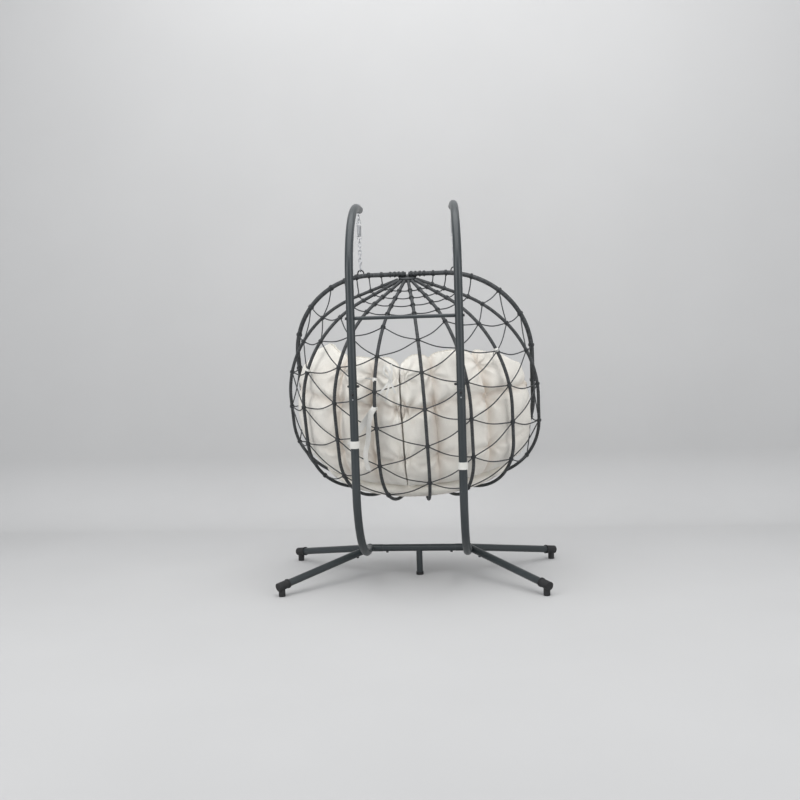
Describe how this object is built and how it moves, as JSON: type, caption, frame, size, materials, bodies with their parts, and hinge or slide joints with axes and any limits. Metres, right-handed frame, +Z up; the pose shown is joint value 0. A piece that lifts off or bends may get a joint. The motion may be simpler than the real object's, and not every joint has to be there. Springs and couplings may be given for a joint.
{
  "type": "hanging egg chair",
  "caption": "Hanging egg chair: a ribbed net basket with seat and back cushions, hung on springs and chains from a curved tube stand with splayed legs.",
  "frame": {"origin": "on the floor under the middle of the base crossbar, at the centre of the stub leg's rubber cap", "axes": "+Z up; the sitter faces -Y; +X is to the sitter's left"},
  "size_m": [1.5122, 0.8789, 2.0063],
  "materials": {
    "powder_coat": "satin",
    "rubber": "matte",
    "black_plastic": "matte",
    "black_steel": "satin",
    "zinc": "satin",
    "strap": "matte",
    "rattan": "matte",
    "net_cord": "matte",
    "cushion": "matte"
  },
  "bodies": {
    "stand": {"base_crossbar": "powder_coat", "centre_stub_leg": "powder_coat", "centre_stub_cap": "rubber", "base_connector_left": "powder_coat", "base_connector_right": "powder_coat", "front_leg_left": "powder_coat", "front_leg_right": "powder_coat", "rear_leg_left": "powder_coat", "rear_leg_right": "powder_coat", "foot_cap_front_left": "rubber", "foot_cap_front_right": "rubber", "foot_cap_rear_left": "rubber", "foot_cap_rear_right": "rubber", "leg_bolts": "black_steel", "lower_post_left": "powder_coat", "lower_post_right": "powder_coat", "upper_arm_left": "powder_coat", "upper_arm_right": "powder_coat", "post_sleeves": "zinc", "post_joint_bolts": "black_steel", "mid_crossbar": "powder_coat", "mid_bar_bolts": "black_steel", "arm_end_plugs": "black_plastic", "eye_bolts": "zinc", "strap_bands": "strap"},
    "hangers": {"spring_upper_hooks": "zinc", "spring_left": "zinc", "spring_right": "zinc"},
    "chains": {"spring_lower_hooks": "zinc", "chain_left": "zinc", "chain_right": "zinc", "snap_hook_left": "zinc", "snap_hook_right": "zinc"},
    "gate_left": {"snap_gate_left": "zinc"},
    "gate_right": {"snap_gate_right": "zinc"},
    "basket": {"rim_left": "rattan", "rim_right": "rattan", "rim_loops": "black_steel", "top_hub": "rattan", "bottom_hub": "rattan", "rib_1": "rattan", "rib_2": "rattan", "rib_3": "rattan", "rib_4": "rattan", "rib_5": "rattan", "rib_6": "rattan", "rib_7": "rattan", "rib_8": "rattan", "net_panel_1": "net_cord", "net_panel_2": "net_cord", "net_panel_3": "net_cord", "net_panel_4": "net_cord", "net_panel_5": "net_cord", "net_panel_6": "net_cord", "net_panel_7": "net_cord", "net_panel_8": "net_cord", "net_panel_9": "net_cord", "net_lashings": "net_cord", "seat_cushion": "cushion", "back_cushions": "cushion"}
  },
  "joints": [
    {"name": "basket_swing", "type": "hinge", "parent": "stand", "child": "hangers", "pos_m": [0.02102, 0, 1.9283], "axis": [-1, 0, 0], "range_deg": [-2, 15]},
    {"name": "spring_stretch", "type": "slide", "parent": "hangers", "child": "chains", "axis": [0, 0, -1], "range_m": [-0.006, 0.03], "stiffness_N_per_m": 50000, "springref_m": -0.00783, "deforming": ["spring_left", "spring_right"]},
    {"name": "gate_left_hinge", "type": "hinge", "parent": "chains", "child": "gate_left", "pos_m": [0.27211, -0.02822, 1.67046], "axis": [-1, 0, 0], "range_deg": [0, 20], "stiffness_Nm_per_rad": 0.0006, "springref_deg": -20.05},
    {"name": "gate_right_hinge", "type": "hinge", "parent": "chains", "child": "gate_right", "pos_m": [-0.23007, -0.00575, 1.66902], "axis": [-1, 0, 0], "range_deg": [0, 20], "stiffness_Nm_per_rad": 0.0006, "springref_deg": -20.05},
    {"name": "basket_rock", "type": "hinge", "parent": "chains", "child": "basket", "pos_m": [0.02102, 0, 1.65635], "axis": [-0.9989, 0.0469, 0], "range_deg": [-1, 8]}
  ]
}
